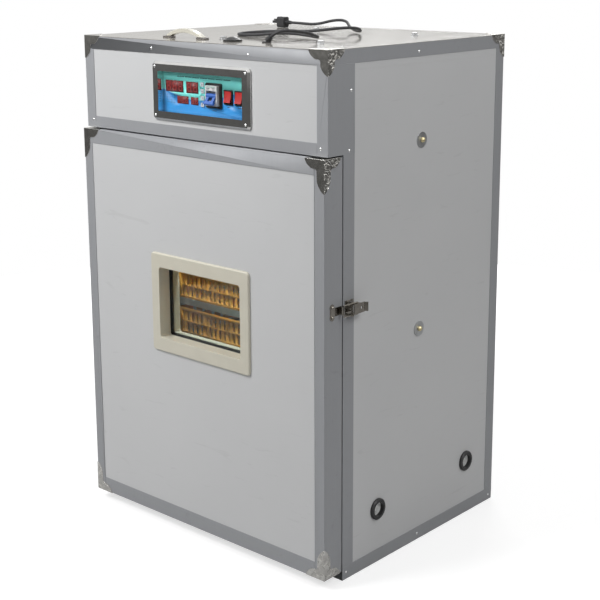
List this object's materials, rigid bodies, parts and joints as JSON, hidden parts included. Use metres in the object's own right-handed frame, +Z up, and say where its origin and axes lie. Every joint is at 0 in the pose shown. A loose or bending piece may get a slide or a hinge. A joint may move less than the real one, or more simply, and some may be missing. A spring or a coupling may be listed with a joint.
{
  "type": "egg incubator",
  "caption": "Upright cabinet egg incubator with a hinged window door, tilting tray rack, overhanging control console, draw latch and mains cord.",
  "frame": {"origin": "centre of the cabinet's footprint, on the floor it stands on", "axes": "+Z up, -Y towards the door and console, +X to the right as seen from the front"},
  "size_m": [0.799, 0.6577, 1.1999],
  "materials": {
    "foam_panel": "satin",
    "top_sheet": "gloss",
    "trim_aluminium": "satin",
    "nickel_guard": "polished",
    "rivet": "satin",
    "bezel_chrome": "polished",
    "control_overlay": "gloss",
    "black_switch_plastic": "gloss",
    "key_plastic": "gloss",
    "red_rocker": "gloss",
    "blue_lever": "satin",
    "electronics": "matte",
    "handle_grip": "gloss",
    "zinc_bolt": "satin",
    "black_plug": "satin",
    "cord_black": "matte",
    "vent_plastic": "satin",
    "latch_nickel": "polished",
    "window_ivory": "satin",
    "window_glass": "polished",
    "seal_rubber": "matte",
    "hinge_steel": "satin",
    "galvanised": "satin",
    "orange_tray": "satin",
    "motor_metal": "satin",
    "fan_plastic": "matte",
    "heater_steel": "satin",
    "pan_steel": "satin",
    "probe_metal": "satin"
  },
  "bodies": {
    "cabinet": {"back_panel": "foam_panel", "base_panel": "foam_panel", "cabinet_hinge_leaves": "hinge_steel", "carry_handle": "handle_grip", "chamber_ceiling": "foam_panel", "console_bezel": "bezel_chrome", "control_electronics": "electronics", "control_plate": "control_overlay", "cord_gland": "cord_black", "cord_plug": "cord_black", "edge_trims": "trim_aluminium", "fascia_panel": "foam_panel", "fixing_screws": "rivet", "heater_fan_mount": "heater_steel", "latch_base": "latch_nickel", "left_panel": "foam_panel", "power_cord": "cord_black", "rack_posts": "galvanised", "right_panel": "foam_panel", "sensor_probe": "probe_metal", "side_bolts": "zinc_bolt", "side_vents": "vent_plastic", "switch_bodies": "black_switch_plastic", "top_bolts": "zinc_bolt", "top_corner_guards": "nickel_guard", "top_panel": "top_sheet", "turning_motor": "motor_metal", "water_pan": "pan_steel"},
    "door": {"door_panel": "foam_panel", "door_edge_trims": "trim_aluminium", "door_corner_guards": "nickel_guard", "window_frame": "window_ivory", "window_glass": "window_glass", "door_seals": "seal_rubber", "door_hinge_leaves": "hinge_steel", "latch_keeper": "latch_nickel"},
    "latch_lever": {"latch_lever": "latch_nickel"},
    "latch_bail": {"latch_bail": "latch_nickel"},
    "key_1": {"key_1": "key_plastic"},
    "key_2": {"key_2": "key_plastic"},
    "key_3": {"key_3": "key_plastic"},
    "key_4": {"key_4": "key_plastic"},
    "rocker_left": {"rocker_left": "red_rocker"},
    "rocker_right": {"rocker_right": "red_rocker"},
    "breaker_lever": {"breaker_lever": "blue_lever"},
    "vent_plug": {"vent_plug": "black_plug"},
    "fan_rotor": {"fan_rotor": "fan_plastic"},
    "link_bar": {"link_bar": "galvanised"},
    "level_1": {"tray_carrier_1": "galvanised", "egg_tray_1": "orange_tray"},
    "level_2": {"tray_carrier_2": "galvanised", "egg_tray_2": "orange_tray"},
    "level_3": {"tray_carrier_3": "galvanised", "egg_tray_3": "orange_tray"},
    "level_4": {"tray_carrier_4": "galvanised", "egg_tray_4": "orange_tray"},
    "level_5": {"tray_carrier_5": "galvanised", "egg_tray_5": "orange_tray"},
    "level_6": {"tray_carrier_6": "galvanised", "egg_tray_6": "orange_tray"}
  },
  "joints": [
    {"name": "door_hinge", "type": "hinge", "parent": "cabinet", "child": "door", "pos_m": [-0.387, -0.29675, 0.486], "axis": [0, 0, -1], "range_deg": [0, 170]},
    {"name": "latch_lever_pivot", "type": "hinge", "parent": "cabinet", "child": "latch_lever", "pos_m": [0.392, -0.28, 0.624], "axis": [0, 0, -1], "range_deg": [0, 110]},
    {"name": "latch_bail_pivot", "type": "hinge", "parent": "latch_lever", "child": "latch_bail", "pos_m": [0.397, -0.267, 0.624], "axis": [0, 0, -1], "range_deg": [-137.5, 0]},
    {"name": "rocker_left_tilt", "type": "hinge", "parent": "cabinet", "child": "rocker_left", "pos_m": [0.088, -0.3334, 1.054], "axis": [1, 0, 0], "range_deg": [0, 24]},
    {"name": "rocker_right_tilt", "type": "hinge", "parent": "cabinet", "child": "rocker_right", "pos_m": [0.121, -0.3334, 1.054], "axis": [1, 0, 0], "range_deg": [0, 24]},
    {"name": "breaker_toggle", "type": "hinge", "parent": "cabinet", "child": "breaker_lever", "pos_m": [0.044, -0.3404, 1.055], "axis": [-1, 0, 0], "range_deg": [0, 92]},
    {"name": "vent_plug_lift", "type": "slide", "parent": "cabinet", "child": "vent_plug", "axis": [0, 0, 1], "range_m": [0, 0.03]},
    {"name": "fan_spin", "type": "hinge", "parent": "cabinet", "child": "fan_rotor", "pos_m": [-0.275, 0.095, 0.64], "axis": [1, 0, 0], "continuous": true},
    {"name": "key_1_press", "type": "slide", "parent": "cabinet", "child": "key_1", "axis": [0, 1, 0], "range_m": [0, 0.0005], "stiffness_N_per_m": 400},
    {"name": "key_2_press", "type": "slide", "parent": "cabinet", "child": "key_2", "axis": [0, 1, 0], "range_m": [0, 0.0005], "stiffness_N_per_m": 400},
    {"name": "key_3_press", "type": "slide", "parent": "cabinet", "child": "key_3", "axis": [0, 1, 0], "range_m": [0, 0.0005], "stiffness_N_per_m": 400},
    {"name": "key_4_press", "type": "slide", "parent": "cabinet", "child": "key_4", "axis": [0, 1, 0], "range_m": [0, 0.0005], "stiffness_N_per_m": 400},
    {"name": "rack_tilt", "type": "hinge", "parent": "cabinet", "child": "level_6", "pos_m": [0, -0.025, 0.741], "axis": [1, 0, 0], "range_deg": [-35, 35]},
    {"name": "level_1_tilt", "type": "hinge", "parent": "cabinet", "child": "level_1", "pos_m": [0, -0.025, 0.286], "axis": [1, 0, 0], "range_deg": [-35, 35]},
    {"name": "level_2_tilt", "type": "hinge", "parent": "cabinet", "child": "level_2", "pos_m": [0, -0.025, 0.377], "axis": [1, 0, 0], "range_deg": [-35, 35]},
    {"name": "level_3_tilt", "type": "hinge", "parent": "cabinet", "child": "level_3", "pos_m": [0, -0.025, 0.468], "axis": [1, 0, 0], "range_deg": [-35, 35]},
    {"name": "level_4_tilt", "type": "hinge", "parent": "cabinet", "child": "level_4", "pos_m": [0, -0.025, 0.559], "axis": [1, 0, 0], "range_deg": [-35, 35]},
    {"name": "level_5_tilt", "type": "hinge", "parent": "cabinet", "child": "level_5", "pos_m": [0, -0.025, 0.65], "axis": [1, 0, 0], "range_deg": [-35, 35]},
    {"name": "link_bar_pivot", "type": "hinge", "parent": "level_6", "child": "link_bar", "pos_m": [-0.214, -0.215, 0.741], "axis": [1, 0, 0], "range_deg": [-35, 35]}
  ],
  "couplings": [
    {"joint": "level_1_tilt", "follows": "rack_tilt", "ratio": 1},
    {"joint": "level_2_tilt", "follows": "rack_tilt", "ratio": 1},
    {"joint": "level_3_tilt", "follows": "rack_tilt", "ratio": 1},
    {"joint": "level_4_tilt", "follows": "rack_tilt", "ratio": 1},
    {"joint": "level_5_tilt", "follows": "rack_tilt", "ratio": 1},
    {"joint": "link_bar_pivot", "follows": "rack_tilt", "ratio": -1},
    {"joint": "latch_bail_pivot", "follows": "latch_lever_pivot", "ratio": -1.25}
  ]
}
